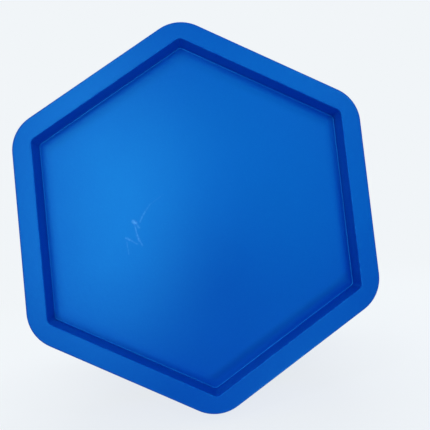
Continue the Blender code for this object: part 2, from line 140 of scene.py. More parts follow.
def hexagon_ring(apothem, corner, station):
    """A hexagonal section with rounded corners, and with extra points along its flats."""
    centre = (apothem - corner) * SECANT
    arc_start = (apothem - corner) * math.tan(HALF_FLAT)
    points = []
    for flat in range(6):
        face = flat * FLAT_ANGLE
        for step in range(1, FLAT_STEPS):
            along = arc_start * (2 * step / FLAT_STEPS - 1)
            points.append(Vector((apothem, along, station)))
            points[-1].rotate(Euler((0.0, 0.0, face)))
        middle = face + HALF_FLAT
        for step in range(CORNER_STEPS + 1):
            angle = middle + FLAT_ANGLE * (step / CORNER_STEPS - 0.5)
            points.append(polar(centre, middle, station) + polar(corner, angle, 0.0))
    return points


def circle_ring(radius, station, like=None, steps=ROUND_STEPS):
    """A round section. like is a ring whose points' directions it copies, for lofts to a hexagon."""
    if like is None:
        return [polar(radius, math.tau * i / steps, station) for i in range(steps)]
    return [polar(radius, math.atan2(p.y, p.x), station) for p in like]


def rounded_path(corners, closed=False):
    """The points of a path with filleted corners, from each corner's (x, y, fillet)."""
    path = []
    count = len(corners)
    for index, (x, y, fillet) in enumerate(corners):
        here = Vector((x, y))
        end = not closed and index in (0, count - 1)
        if end or fillet == 0.0:
            path.append(here)
            continue
        back = (Vector(corners[index - 1][:2]) - here).normalized()
        onward = (Vector(corners[(index + 1) % count][:2]) - here).normalized()
        half = back.angle(onward) / 2
        centre = here + (back + onward).normalized() * fillet / math.sin(half)
        first = here + back * fillet / math.tan(half) - centre
        last = here + onward * fillet / math.tan(half) - centre
        turn = first.angle_signed(last)
        for step in range(FILLET_STEPS + 1):
            spoke = first.copy()
            spoke.rotate(Matrix.Rotation(-turn * step / FILLET_STEPS, 2))
            path.append(centre + spoke)
    return path


def shaded(mesh, sharp_angle=SHARP_ANGLE):
    """The mesh, smooth except across its sharp edges."""
    mesh.shade_smooth()
    mesh.set_sharp_from_angle(angle=sharp_angle)
    return mesh


def mesh_from(name, work):
    """A closed bmesh as a mesh, with its faces pointing out. The bmesh is used up."""
    bmesh.ops.recalc_face_normals(work, faces=work.faces)
    mesh = bpy.data.meshes.new(name)
    work.to_mesh(mesh)
    work.free()
    return shaded(mesh)


def lofted(name, rings, closed=False):
    """A mesh over rings that all have the same number of points.

    A closed loft goes back to its first ring. An open one has a flat fan of triangles at each end.
    """
    work = bmesh.new()
    rows = [[work.verts.new(point) for point in ring] for ring in rings]
    pairs = list(zip(rows, rows[1:]))
    if closed:
        pairs.append((rows[-1], rows[0]))
    for low, high in pairs:
        for i in range(len(low)):
            j = (i + 1) % len(low)
            work.faces.new((low[i], low[j], high[j], high[i]))
    if not closed:
        bmesh.ops.poke(work, faces=[work.faces.new(rows[0]), work.faces.new(rows[-1])])
    return mesh_from(name, work)


def new_object(name, data):
    """An object in the scene."""
    thing = bpy.data.objects.new(name, data)
    bpy.context.scene.collection.objects.link(thing)
    return thing


def add_piece(name, mesh, body, material, node):
    """Lays the mesh down as a piece that rides on body and stands for the CAD node."""
    mesh.transform(LAY_DOWN)
    piece = new_object(name, mesh)
    mesh.materials.clear()
    mesh.materials.append(material)
    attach(piece, body)
    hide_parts(node)
    return piece


def add_turned(name, node, body, material, corners, steps=ROUND_STEPS, closed=True):
    """A piece turned from (radius, station, fillet) corners. An open path starts and ends on the axis."""
    path = rounded_path(corners, closed)
    if not closed:
        path = path[1:-1]
    mesh = lofted(name, [circle_ring(p.x, p.y, steps=steps) for p in path], closed)
    add_piece(name, mesh, body, material, node)


def keep_flats_flat(piece):
    """Stops a fillet's shading from spreading over the flats that it joins."""
    modifier = piece.modifiers.new("flat_flats", "WEIGHTED_NORMAL")
    modifier.keep_sharp = True


def boolean(mesh, cutter, operation):
    """mesh with cutter joined on or cut away. The cutter is used up."""
    holder = new_object("holder", mesh)
    tool = new_object("tool", cutter)
    modifier = holder.modifiers.new("cut", "BOOLEAN")
    modifier.operation = operation
    modifier.solver = "EXACT"
    modifier.object = tool
    return welded(baked(holder, tool))


def welded(mesh):
    """The mesh with near-double points merged and the strips of its flat faces joined up."""
    work = bmesh.new()
    work.from_mesh(mesh)
    bmesh.ops.remove_doubles(work, verts=work.verts, dist=WELD)
    bmesh.ops.dissolve_limit(work, angle_limit=FLAT_TOLERANCE, verts=work.verts, edges=work.edges)
    bmesh.ops.dissolve_degenerate(work, edges=work.edges, dist=WELD)
    work.to_mesh(mesh)
    work.free()
    return mesh


def baked(holder, *spares):
    """The holder's mesh with its modifiers applied. The holder and the spares are removed."""
    bpy.context.view_layer.update()
    evaluated = holder.evaluated_get(bpy.context.evaluated_depsgraph_get())
    mesh = bpy.data.meshes.new_from_object(evaluated)
    for thing in (holder, *spares):
        bpy.data.objects.remove(thing)
    return mesh


def bevelled(mesh, width, angle):
    """The mesh with the edges that turn by more than angle rounded."""
    holder = new_object("holder", mesh)
    modifier = holder.modifiers.new("edges", "BEVEL")
    modifier.width = width
    modifier.segments = 2
    modifier.limit_method = "ANGLE"
    modifier.angle_limit = angle
    modifier.miter_outer = "MITER_ARC"
    modifier.use_clamp_overlap = False
    return shaded(baked(holder), BEVELLED_SHARP_ANGLE)


def joined(meshes):
    """Several separate meshes as one, to use as a cutter or a group."""
    work = bmesh.new()
    for mesh in meshes:
        work.from_mesh(mesh)
        bpy.data.meshes.remove(mesh)
    mesh = bpy.data.meshes.new("joined")
    work.to_mesh(mesh)
    work.free()
    return mesh


def rod_mesh(radius, bottom, top, x):
    """A rod parallel to the axis, x from it."""
    rings = [circle_ring(radius, station, steps=SMALL_STEPS) for station in (bottom, top)]
    mesh = lofted("rod", rings)
    mesh.transform(Matrix.Translation((x, 0.0, 0.0)))
    return mesh


def block_mesh(low, high, edge):
    """A box between two corners, with every edge rounded."""
    work = bmesh.new()
    bmesh.ops.create_cube(work, size=1.0)
    size = Vector(high) - Vector(low)
    bmesh.ops.scale(work, vec=size, verts=work.verts)
    bmesh.ops.translate(work, vec=(Vector(high) + Vector(low)) / 2, verts=work.verts)
    bmesh.ops.bevel(work, geom=work.edges[:], offset=edge, segments=3, profile=0.5, affect="EDGES")
    return mesh_from("block", work)


def six_copies(mesh, first_angle=0.0):
    """The mesh repeated round the axis, once for each flat or corner."""
    copies = []
    for index in range(6):
        copy = mesh.copy()
        copy.transform(Matrix.Rotation(first_angle + index * FLAT_ANGLE, 4, "Z"))
        copies.append(copy)
    bpy.data.meshes.remove(mesh)
    return joined(copies)


# ---------------- materials

# Sockets of a Mix node, whose colour sockets share their names with its number sockets
NUMBER_FIRST, NUMBER_SECOND, NUMBER_RESULT = 2, 3, 0
COLOUR_FIRST, COLOUR_SECOND, COLOUR_RESULT = 6, 7, 2


def map_range(tree, value, given, wanted, interpolation="LINEAR"):
    """A socket's value moved from the given (low, high) range to the wanted one, and held within it."""
    node = tree.nodes.new("ShaderNodeMapRange")
    node.interpolation_type = interpolation
    for name, number in zip(("From Min", "From Max", "To Min", "To Max"), (*given, *wanted)):
        node.inputs[name].default_value = number
    tree.links.new(value, node.inputs["Value"])
    return node.outputs[0]


class Shader:
    """Adds and links the nodes of one material. Sizes and places in it are in metres."""

    def __init__(self, name, colour, roughness, metallic=0.0):
        self.material = bpy.data.materials.new(name)
        self.material.use_nodes = True
        self.tree = self.material.node_tree
        self.base = self.tree.nodes["Principled BSDF"]
        self.set("Base Color", (*colour, 1.0))
        self.set("Roughness", roughness)
        self.set("Metallic", metallic)
        self.place = self.add("ShaderNodeTexCoord").outputs["Object"]

    def add(self, kind, **settings):
        node = self.tree.nodes.new(kind)
        for key, value in settings.items():
            setattr(node, key, value)
        return node

    def link(self, source, target):
        self.tree.links.new(source, target)

    def feed(self, target, value):
        """Sets a socket to a fixed value, or links it to another socket."""
        if isinstance(value, (int, float, tuple)):
            target.default_value = value
        else:
            self.link(value, target)

    def set(self, name, value):
        self.feed(self.base.inputs[name], value)

    def worked_out(self, kind, operation, values):
        node = self.add(kind, operation=operation)
        for socket, value in zip(node.inputs, values):
            self.feed(socket, value)
        return node.outputs

    def maths(self, operation, *values):
        return self.worked_out("ShaderNodeMath", operation, values)["Value"]

    def vector_maths(self, operation, *values, result="Value"):
        return self.worked_out("ShaderNodeVectorMath", operation, values)[result]

    def noise(self, scale, detail=3.0, roughness=0.55):
        node = self.add("ShaderNodeTexNoise")
        self.link(self.place, node.inputs["Vector"])
        node.inputs["Scale"].default_value = scale
        node.inputs["Detail"].default_value = detail
        node.inputs["Roughness"].default_value = roughness
        return node.outputs["Fac"]

    def fit(self, value, given, wanted):
        return map_range(self.tree, value, given, wanted)

    def mix(self, share, first, second):
        """A colour between two others, which are sockets or (red, green, blue)."""
        node = self.add("ShaderNodeMix", data_type="RGBA")
        self.feed(node.inputs["Factor"], share)
        for socket, value in ((COLOUR_FIRST, first), (COLOUR_SECOND, second)):
            if isinstance(value, tuple):
                value = (*value, 1.0)
            self.feed(node.inputs[socket], value)
        return node.outputs[COLOUR_RESULT]

    def bump(self, height, distance, strength, under=None):
        """A normal roughened by the height, on top of the normal under it."""
        node = self.add("ShaderNodeBump")
        node.inputs["Strength"].default_value = strength
        node.inputs["Distance"].default_value = distance
        self.link(height, node.inputs["Height"])
        if under is not None:
            self.link(under, node.inputs["Normal"])
        return node.outputs[0]


def edge_mask(shader, radius, lean):
    """1 on edges and 0 on flats. lean is where it starts and is full, as 1 less the cosine of how far a
    normal rounded over the radius leans from the true one.
    """
    soft = shader.add("ShaderNodeBevel", samples=6)
    soft.inputs["Radius"].default_value = radius
    true = shader.add("ShaderNodeNewGeometry").outputs["True Normal"]
    cosine = shader.vector_maths("DOT_PRODUCT", soft.outputs[0], true)
    return shader.fit(shader.maths("SUBTRACT", 1.0, cosine), lean, (0.0, 1.0))


def radius_of(shader):
    """Distance from the barrel's axis."""
    flat = shader.vector_maths("MULTIPLY", shader.place, (1.0, 0.0, 1.0), result="Vector")
    return shader.vector_maths("LENGTH", flat)


PANEL_BAND = (0.002, 0.0035)
PANEL_SHARE = 0.25


def off_the_panel(shader):
    """Low at the closed end's recessed panel, to keep the wear and painted highlight faint at its inner
    corner, and 1 elsewhere.
    """
    split = shader.add("ShaderNodeSeparateXYZ")
    shader.link(shader.place, split.inputs[0])
    away = shader.maths("ABSOLUTE", shader.maths("SUBTRACT", split.outputs["Y"], RIM_Y + RECESS_DEPTH))
    return shader.fit(away, PANEL_BAND, (PANEL_SHARE, 1.0))


BLUE = (0.0002, 0.054, 0.565)
BLUE_DEEP = (0.0002, 0.051, 0.545)
BLUE_SPECKLE = (0.004, 0.20, 0.70)
# Paler blue painted on edges: partly wear, partly a painted highlight for the light that the small fillets
# catch
BLUE_WORN_AND_HIGHLIGHT = (0.012, 0.26, 0.84)
BLUE_SHEEN = (0.025, 0.52, 1.0, 1.0)
BLUE_INDEX = 1.75
# Greatest share of that paler blue on an edge
EDGE_WEAR_AND_HIGHLIGHT = 0.5
EDGE_GLOSS = 0.15


def moulded_blue(name="moulded_blue"):
    """Satin polypropylene: a fine spark-eroded grain, slow tone changes, and paler edges that are partly wear
    and partly a painted highlight.
    """
    shader = Shader(name, BLUE, roughness=0.3)
    tone = shader.fit(shader.noise(scale=14.0, detail=4.0), (0.35, 0.65), (0.0, 1.0))
    speckle = shader.fit(shader.noise(scale=900.0, detail=2.0), (0.45, 0.75), (0.0, 0.08))
    colour = shader.mix(speckle, shader.mix(tone, BLUE_DEEP, BLUE), BLUE_SPECKLE)
    # Edges are painted a paler blue, in dashes where the noise is high: partly wear, partly a painted
    # highlight
    edge = edge_mask(shader, radius=0.0020, lean=(0.004, 0.06))
    edge = shader.maths("MULTIPLY", edge, off_the_panel(shader))
    wear_and_highlight_noise = shader.noise(scale=160.0, detail=4.0)
    wear_and_highlight = shader.fit(wear_and_highlight_noise, (0.35, 0.65), (0.2 * EDGE_WEAR_AND_HIGHLIGHT, EDGE_WEAR_AND_HIGHLIGHT))
    shader.set("Base Color", shader.mix(shader.maths("MULTIPLY", edge, wear_and_highlight), colour, BLUE_WORN_AND_HIGHLIGHT))
    shader.set("Roughness", shader.fit(shader.noise(scale=30.0), (0.1, 0.9), (0.27, 0.34)))
    mottle = shader.bump(shader.noise(scale=420.0), distance=0.00006, strength=0.9)
    grain = shader.noise(scale=1500.0, detail=2.0, roughness=0.6)
    shader.set("Normal", shader.bump(grain, distance=0.00006, strength=0.35, under=mottle))
    shader.set("IOR", BLUE_INDEX)
    shader.set("Specular IOR Level", shader.fit(edge, (0.0, 1.0), (1.0, EDGE_GLOSS)))
    shader.set("Specular Tint", BLUE_SHEEN)
    return shader


TYRE_BLACK = (0.024, 0.024, 0.025)
SEAL_BLACK = (0.020, 0.020, 0.021)
BLOOM = 0.05


def rubber(name, colour, dust):
    """Matt black moulded rubber with a faint grey bloom. dust is the bloom's greatest strength."""
    shader = Shader(name, colour, roughness=0.78)
    bloom = shader.noise(scale=60.0, detail=6.0, roughness=0.65)
    pale = tuple(channel + BLOOM for channel in colour)
    shader.set("Base Color", shader.mix(shader.fit(bloom, (0.45, 0.8), (0.0, dust)), colour, pale))
    shader.set("Roughness", shader.fit(bloom, (0.3, 0.7), (0.68, 0.86)))
    grain = shader.noise(scale=2200.0, detail=2.0)
    shader.set("Normal", shader.bump(grain, distance=0.00008, strength=0.5))
    shader.set("Specular IOR Level", 0.35)
    return shader


STEEL = (0.60, 0.61, 0.62)
BRASS = (0.72, 0.50, 0.20)
HANDLED_SHADE = 0.86
LATHE_LINES = 5200.0


def turned_metal(name, colour, roughness):
    """Metal finished on a lathe: fine rings about the barrel's axis, and soft handling marks."""
    shader = Shader(name, colour, roughness, metallic=1.0)
    rings = shader.add("ShaderNodeTexNoise", noise_dimensions="1D")
    rings.inputs["Scale"].default_value = LATHE_LINES
    rings.inputs["Detail"].default_value = 3.0
    shader.link(radius_of(shader), rings.inputs["W"])
    marks = shader.noise(scale=45.0, detail=5.0)
    spread = shader.fit(marks, (0.3, 0.7), (-0.05, 0.07))
    lined = shader.fit(rings.outputs["Fac"], (0.3, 0.7), (roughness - 0.05, roughness + 0.05))
    shader.set("Roughness", shader.maths("ADD", lined, spread))
    tint = tuple(channel * HANDLED_SHADE for channel in colour)
    shader.set("Base Color", shader.mix(shader.fit(marks, (0.4, 0.75), (0.0, 0.6)), colour, tint))
    shader.set("Normal", shader.bump(rings.outputs["Fac"], distance=0.00003, strength=0.5))
    return shader


ZINC = (0.62, 0.63, 0.65)
ZINC_DULL = (0.50, 0.50, 0.52)


def zinc_plate(name):
    """Bright zinc on a small fastener: slightly mottled, without lathe rings."""
    shader = Shader(name, ZINC, roughness=0.30, metallic=1.0)
    mottle = shader.noise(scale=420.0, detail=4.0)
    shader.set("Base Color", shader.mix(shader.fit(mottle, (0.4, 0.7), (0.0, 1.0)), ZINC, ZINC_DULL))
    shader.set("Roughness", shader.fit(mottle, (0.3, 0.7), (0.24, 0.38)))
    shader.set("Normal", shader.bump(mottle, distance=0.00004, strength=0.4))
    return shader


NYLON = (0.014, 0.014, 0.015)
NYLON_WORN = (0.05, 0.05, 0.052)


def knob_plastic(name):
    """Black glass-filled nylon with a fine grain and paler edges."""
    shader = Shader(name, NYLON, roughness=0.45)
    wear = shader.maths("MULTIPLY", edge_mask(shader, radius=0.0012, lean=(0.02, 0.25)), 0.35)
    shader.set("Base Color", shader.mix(wear, NYLON, NYLON_WORN))
    grain = shader.noise(scale=1300.0)
    shader.set("Roughness", shader.fit(grain, (0.3, 0.7), (0.40, 0.55)))
    shader.set("Normal", shader.bump(grain, distance=0.00007, strength=0.6))
    return shader


# Scratches on the closed end's panel, as (from, to, half width, strength), in millimetres from the axis
SCRATCHES = (
    ((-40.4, -1.6), (-39.4, -9.6), 0.34, 0.20),
    ((-39.6, -8.4), (-38.4, -12.2), 0.50, 0.24),
    ((-38.8, -10.6), (-36.8, -15.6), 0.36, 0.20),
    ((-41.0, 0.2), (-39.9, -0.7), 0.85, 0.40),
    ((-39.9, -0.7), (-37.9, -4.0), 0.60, 0.17),
    ((-46.6, -9.6), (-44.2, -11.2), 0.48, 0.26),
    ((-44.2, -11.2), (-39.9, -14.2), 0.40, 0.14),
    ((-46.4, -12.4), (-45.8, -20.0), 0.34, 0.09),
    ((-36.9, -0.4), (-35.4, 2.4), 0.38, 0.16),
    ((-35.4, 2.4), (-33.0, 5.8), 0.38, 0.20),
    ((-33.0, 5.8), (-29.5, 10.0), 0.36, 0.09),
    ((-29.5, 10.0), (-20.5, 15.6), 0.34, 0.04),
)
SCRATCH_COLOUR = (0.26, 0.46, 1.0)

# A scratch fades out between these shares of its half width
SCRATCH_CORE, SCRATCH_REACH = 0.1, 1.9
MILLIMETRES = 1000.0


def distance_from_stroke(shader, x, z, start, end):
    """How far a point (x, z) is from the straight stroke between two points."""
    run = Vector(end) - Vector(start)
    off_x = shader.maths("SUBTRACT", x, start[0])
    off_z = shader.maths("SUBTRACT", z, start[1])
    ahead = shader.maths("MULTIPLY", off_z, run.y / run.length_squared)
    ahead = shader.maths("MULTIPLY_ADD", off_x, run.x / run.length_squared, ahead)
    ahead = shader.maths("MINIMUM", shader.maths("MAXIMUM", ahead, 0.0), 1.0)
    miss_x = shader.maths("MULTIPLY_ADD", ahead, -run.x, off_x)
    miss_z = shader.maths("MULTIPLY_ADD", ahead, -run.y, off_z)
    squared = shader.maths("MULTIPLY_ADD", miss_x, miss_x, shader.maths("MULTIPLY", miss_z, miss_z))
    return shader.maths("SQRT", squared)


def scratch_mask(shader):
    """How scuffed each point of the panel is: the strongest of the scratches that pass it."""
    split = shader.add("ShaderNodeSeparateXYZ")
    shader.link(shader.place, split.inputs[0])
    x = shader.maths("MULTIPLY", split.outputs["X"], MILLIMETRES)
    z = shader.maths("MULTIPLY", split.outputs["Z"], MILLIMETRES)
    strongest = 0.0
    for start, end, width, strength in SCRATCHES:
        away = distance_from_stroke(shader, x, z, start, end)
        mark = shader.fit(away, (width * SCRATCH_CORE, width * SCRATCH_REACH), (strength, 0.0))
        strongest = shader.maths("MAXIMUM", strongest, mark)
    fray = shader.noise(scale=620.0, roughness=0.7)
    return shader.maths("MULTIPLY", strongest, shader.fit(fray, (0.36, 0.60), (0.25, 1.35)))


FRONT_FACING = (0.9, 0.95)


def closed_end_blue(name):
    """The moulded blue of the shell, with the scratches that its end panel has picked up."""
    shader = moulded_blue(name)
    unmarked = shader.base.inputs["Base Color"].links[0].from_socket
    normal = shader.add("ShaderNodeNewGeometry").outputs["Normal"]
    facing = shader.vector_maths("DOT_PRODUCT", normal, (0.0, -1.0, 0.0))
    front = shader.fit(facing, FRONT_FACING, (0.0, 1.0))
    share = shader.maths("MULTIPLY", scratch_mask(shader), front)
    shader.set("Base Color", shader.mix(share, unmarked, SCRATCH_COLOUR))
    return shader


# ---------------- pieces


def recess_section(inset, depth, sink):
    """A section of the recess. sink is the share of the gutter's depth that is added to the depth."""
    corner = max(RECESS_CORNER + RIM_WIDTH - inset, TIGHT_CORNER)
    ring = hexagon_ring(APOTHEM - inset, corner, depth)
    for point in ring:
        lean = math.atan2(point.y, point.x) - GUTTER_SIDE
        level = GUTTER_LEAST + (1 - GUTTER_LEAST) * max(math.cos(lean), 0.0) ** 2
        point.z += sink * GUTTER_DEPTH * level
    return ring


def panel_sections(foot):
    """The panel's border, from the flat middle out to the foot of the recess's wall."""
    sections = []
    for step in range(GUTTER_STEPS):
        share = step / GUTTER_STEPS
        sections.append(recess_section(foot + GUTTER_WIDTH * (1 - share), RECESS_DEPTH, share**2))
    return sections


def add_shell(material):
    """The hexagonal tub, lofted from the panel's middle over the rim and the mouth to the cavity's floor."""
    length = SHELL_HIGH.y - RIM_Y
    panel_inset = RIM_WIDTH + RECESS_DRAFT
    profile = rounded_path(
        [
            (panel_inset + PANEL_FILLET * 2, RECESS_DEPTH, 0.0),
            (panel_inset, RECESS_DEPTH, PANEL_FILLET),
            (RIM_WIDTH, 0.0, RIM_INNER_FILLET),
            (0.0, 0.0, RIM_OUTER_FILLET),
            (0.0, length, MOUTH_FILLET),
            (SHELL_WALL, length, 0.0),
        ]
    )
    rings = panel_sections(panel_inset)
    for p in profile[1:-1]:
        if p.x > RIM_WIDTH / 2:
            rings.append(recess_section(p.x, p.y, p.y / RECESS_DEPTH))
        else:
            rings.append(hexagon_ring(APOTHEM - p.x, CORNER_RADIUS - p.x, p.y))
    cavity_bottom = RECESS_DEPTH + SHELL_FLOOR
    for station in (length, cavity_bottom):
        rings.append(hexagon_ring(APOTHEM - SHELL_WALL, CAVITY_CORNER, station))
    mesh = lofted("shell", rings)
    bosses = joined([boss_group("front", -1), boss_group("rear", 1)])
    mesh = shaded(boolean(mesh, bosses, "UNION"))
    keep_flats_flat(add_piece("shell_moulding", mesh, "barrel", material, "barrel_shell"))


BOSS_WIDTH = 0.015
BOSS_LENGTH = 0.018
BOSS_REACH = SHELL_HIGH.x
BOSS_EDGE = 0.0025
BOSS_ROOT = 0.003


def boss_group(ring, outboard):
    """Six rounded screw bosses that butt against a track ring. outboard is the way its pockets face."""
    low, high = station_range(f"track_ring_{ring}")
    butt = high + CLEARANCE if outboard < 0 else low - CLEARANCE
    far = butt - outboard * BOSS_LENGTH
    bottom, top = sorted((butt, far))
    half = BOSS_WIDTH / 2
    return six_copies(block_mesh((APOTHEM - BOSS_ROOT, -half, bottom), (BOSS_REACH, half, top), BOSS_EDGE))


LINER_WALL = 0.005
LINER_FLOOR = 0.006
LINER_CHAMFER = 0.004
LINER_INNER_FILLET = 0.009
FLANGE_EDGE = 0.0005
FLARE = 0.002
FLARE_MIDDLE = 0.0006


def add_liner(material):
    """The rubber liner: a hexagonal tub with soft inner corners and a flange at the mouth."""
    low, high = station_range("barrel_liner")
    outer = APOTHEM - SHELL_WALL - CLEARANCE
    outer_corner = CAVITY_CORNER - CLEARANCE
    inner = outer - LINER_WALL
    inner_corner = outer_corner - LINER_WALL
    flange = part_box("barrel_liner")[1].x
    flange_corner = CORNER_RADIUS - (APOTHEM - flange)
    flange_bottom = SHELL_HIGH.y - RIM_Y + CLEARANCE
    sections = [
        (outer - LINER_CHAMFER, outer_corner - LINER_CHAMFER, low),
        (outer, outer_corner, low + LINER_CHAMFER),
        (outer, outer_corner, flange_bottom),
        (flange - FLANGE_EDGE, flange_corner, flange_bottom),
        (flange, flange_corner, flange_bottom + FLANGE_EDGE),
        (flange, flange_corner, high - FLANGE_EDGE),
        (flange - FLANGE_EDGE, flange_corner, high),
        (inner + FLARE, inner_corner + FLARE, high),
        (inner + FLARE_MIDDLE, inner_corner + FLARE_MIDDLE, high - FLARE_MIDDLE),
        (inner, inner_corner, high - FLARE),
    ]
    floor = low + LINER_FLOOR
    for step in range(FILLET_STEPS + 2):
        turn = math.pi / 2 * step / (FILLET_STEPS + 1)
        inset = LINER_INNER_FILLET * (1 - math.cos(turn))
        station = floor + LINER_INNER_FILLET * (1 - math.sin(turn))
        sections.append((inner - inset, inner_corner - inset, station))
    mesh = lofted("liner", [hexagon_ring(*section) for section in sections])
    keep_flats_flat(add_piece("liner_tub", mesh, "barrel", material, "barrel_liner"))


MOUTH_RADIUS = 0.072
COLLAR_RADIUS = 0.084
COLLAR_ROOT_FILLET = 0.0025
COLLAR_TOP_FILLET = 0.0012
BORE_FILLET = 0.0008
PLATE_THICKNESS = 0.008
PLATE_FILLET = 0.0018
RIB_END = 0.108
RIB_WIDTH = 0.005
RIB_HEIGHT = 0.006
RIB_EDGE = 0.0012
RIB_ROOT = 0.003
RIB_INNER_END = 0.080

# Flat bands on the plate, between its hexagonal sections and its round ones
UNDERSIDE_HEXAGON = 0.084
TOP_BAND = 0.006
BORE_BAND = 0.004
INNER_CORNER = 0.02


def add_mouth_plate(material):
    """The end plate, lofted from its hexagonal edge through the round collar to the mouth's bore."""
    low, _ = station_range("mouth_plate")
    top = low + PLATE_THICKNESS
    edge = rounded_path(
        [
            (APOTHEM - UNDERSIDE_HEXAGON, low, 0.0),
            (0.0, low, PLATE_FILLET),
            (0.0, top, PLATE_FILLET),
            (TOP_BAND, top, 0.0),
        ]
    )
    rings = [hexagon_ring(APOTHEM - p.x, CORNER_RADIUS - min(p.x, INNER_CORNER), p.y) for p in edge]
    guide = rings[-1]
    collar = rounded_path(
        [
            (COLLAR_RADIUS + TOP_BAND, top, 0.0),
            (COLLAR_RADIUS, top, COLLAR_ROOT_FILLET),
            (COLLAR_RADIUS, COLLAR_TOP, COLLAR_TOP_FILLET),
            (MOUTH_RADIUS, COLLAR_TOP, COLLAR_TOP_FILLET),
            (MOUTH_RADIUS, low, BORE_FILLET),
            (MOUTH_RADIUS + BORE_BAND, low, 0.0),
        ]
    )
    rings += [circle_ring(p.x, p.y, like=guide) for p in collar]
    mesh = lofted("plate", rings, closed=True)
    half = RIB_WIDTH / 2
    rib = block_mesh((RIB_INNER_END, -half, top - RIB_ROOT), (RIB_END, half, top + RIB_HEIGHT), RIB_EDGE)
    mesh = shaded(boolean(mesh, six_copies(rib, HALF_FLAT), "UNION"))
    keep_flats_flat(add_piece("mouth_end_plate", mesh, "barrel", material, "mouth_plate"))


RING_WEB = 0.006
RING_RIM = 0.004
RING_SLEEVE = 0.004
RING_LIP = 0.0012
RING_LIP_WIDTH = 0.002
RING_EDGE = 0.0004
RING_BEVEL_ANGLE = math.radians(45)
POCKET_TIP = 0.0012
POCKET_STEPS = 24
RING_SCREW_CIRCLE = 0.1166
SCREW_HOLE = 0.0023
CUTTER_SPARE = 0.002


def pocket_outline(flat, arc_radius):
    """A ring pocket's outline: the sleeve's flat, the rim's round, and a round tip at each end."""
    centre = Vector((flat + POCKET_TIP, 0.0, 0.0))
    centre.y = math.sqrt((arc_radius - POCKET_TIP) ** 2 - centre.x**2)
    reach = math.atan2(centre.y, centre.x)
    tip = []
    for step in range(POCKET_STEPS + 1):
        tip.append(centre + polar(POCKET_TIP, math.pi + (reach - math.pi) * step / POCKET_STEPS, 0.0))
    arc = []
    for step in range(1, POCKET_STEPS):
        arc.append(polar(arc_radius, reach - 2 * reach * step / POCKET_STEPS, 0.0))
    return tip + arc + [Vector((point.x, -point.y, 0.0)) for point in reversed(tip)]


def track_ring_mesh(width, radius):
    """A track ring in its own frame: zero at the inboard face, pockets open outboard."""
    core = radius - RING_LIP
    bore = rounded_path(
        [
            (RING_EDGE * 3, 0.0, 0.0),
            (0.0, 0.0, RING_EDGE),
            (0.0, width, RING_EDGE),
            (RING_EDGE * 3, width, 0.0),
        ]
    )
    rings = [hexagon_ring(APOTHEM + CLEARANCE + p.x, CORNER_RADIUS + CLEARANCE + p.x, p.y) for p in bore]
    outside = rounded_path(
        [
            (radius - RING_EDGE * 3, width, 0.0),
            (radius, width, RING_EDGE),
            (radius, width - RING_LIP_WIDTH, RING_EDGE / 2),
            (core, width - RING_LIP_WIDTH, RING_EDGE / 2),
            (core, RING_LIP_WIDTH, RING_EDGE / 2),
            (radius, RING_LIP_WIDTH, RING_EDGE / 2),
            (radius, 0.0, RING_EDGE),
            (radius - RING_EDGE * 3, 0.0, 0.0),
        ]
    )
    rings += [circle_ring(p.x, p.y, like=rings[0]) for p in outside]
    ring = lofted("ring", rings, closed=True)
    outline = pocket_outline(APOTHEM + CLEARANCE + RING_SLEEVE, core - RING_RIM)
    ends = (RING_WEB, width + CUTTER_SPARE)
    pocket = [[Vector((p.x, p.y, station)) for p in outline] for station in ends]
    ring = boolean(ring, six_copies(lofted("pocket", pocket)), "DIFFERENCE")
    hole = rod_mesh(SCREW_HOLE, -CUTTER_SPARE, RING_WEB + CUTTER_SPARE, x=RING_SCREW_CIRCLE)
    ring = boolean(ring, six_copies(hole), "DIFFERENCE")
    return bevelled(ring, RING_EDGE, RING_BEVEL_ANGLE)


def ring_matrix(name):
    """Places a ring-frame mesh: the front ring's outboard side faces the closed end."""
    low, high = station_range(f"track_ring_{name}")
    if name == "front":
        return Matrix.Translation((0.0, 0.0, high)) @ Matrix.Rotation(math.pi, 4, "X")
    return Matrix.Translation((0.0, 0.0, low))


def add_track_ring(name, material):
    node = f"track_ring_{name}"
    low, high = station_range(node)
    mesh = track_ring_mesh(high - low, node_radius(node))
    mesh.transform(ring_matrix(name))
    keep_flats_flat(add_piece(f"{name}_track_ring", mesh, "barrel", material, node))


def groove_corners(surface, middle, reach, floor, depth, edge):
    """A groove in a turned surface. reach is half its width, and floor the share of that at full depth."""
    sides = ((-1, 0.0), (-floor, depth), (floor, depth), (1, 0.0))
    return [(surface - sunk, middle + side * reach, edge) for side, sunk in sides]


TYRE_SHOULDER = 0.0012
TYRE_GROOVES = 3
TYRE_GROOVE = {"reach": 0.0006, "floor": 0.6, "depth": 0.0007, "edge": 0.00015}


def add_tyre(name, material):
    """A rubber band with rounded shoulders and shallow grip grooves."""
    low, high = station_range(f"tyre_{name}")
    radius = node_radius(f"tyre_{name}")
    inner = node_radius(f"track_ring_{name}") - RING_LIP + CLEARANCE
    corners = [(inner, low, 0.0), (radius, low, TYRE_SHOULDER)]
    for groove in range(TYRE_GROOVES):
        middle = low + (high - low) * (groove + 1) / (TYRE_GROOVES + 1)
        corners += groove_corners(radius, middle, **TYRE_GROOVE)
    corners += [(radius, high, TYRE_SHOULDER), (inner, high, 0.0)]
    add_turned(f"{name}_rubber_tyre", f"tyre_{name}", "barrel", material, corners)


HEAD_HEIGHT = 0.0033
HEAD_RADIUS = 0.0038
CROWN_FLAT = 0.00195
CROWN_FOOT = 0.0004
CROWN_STEPS = 7
HEAD_CHAMFER = 0.0002
SOCKET_APOTHEM = 0.00135
SOCKET_DEPTH = 0.002
SOCKET_CHAMFER = 0.0001
SHANK_RADIUS = 0.002
SHANK_CHAMFER = 0.0005
SCREW_STEPS = 36
MOUTH_SCREW_CIRCLE = 0.1155

# Turn in radians from one screw's socket to the next one's, so that they don't line up
SPIN_STEP = 0.7


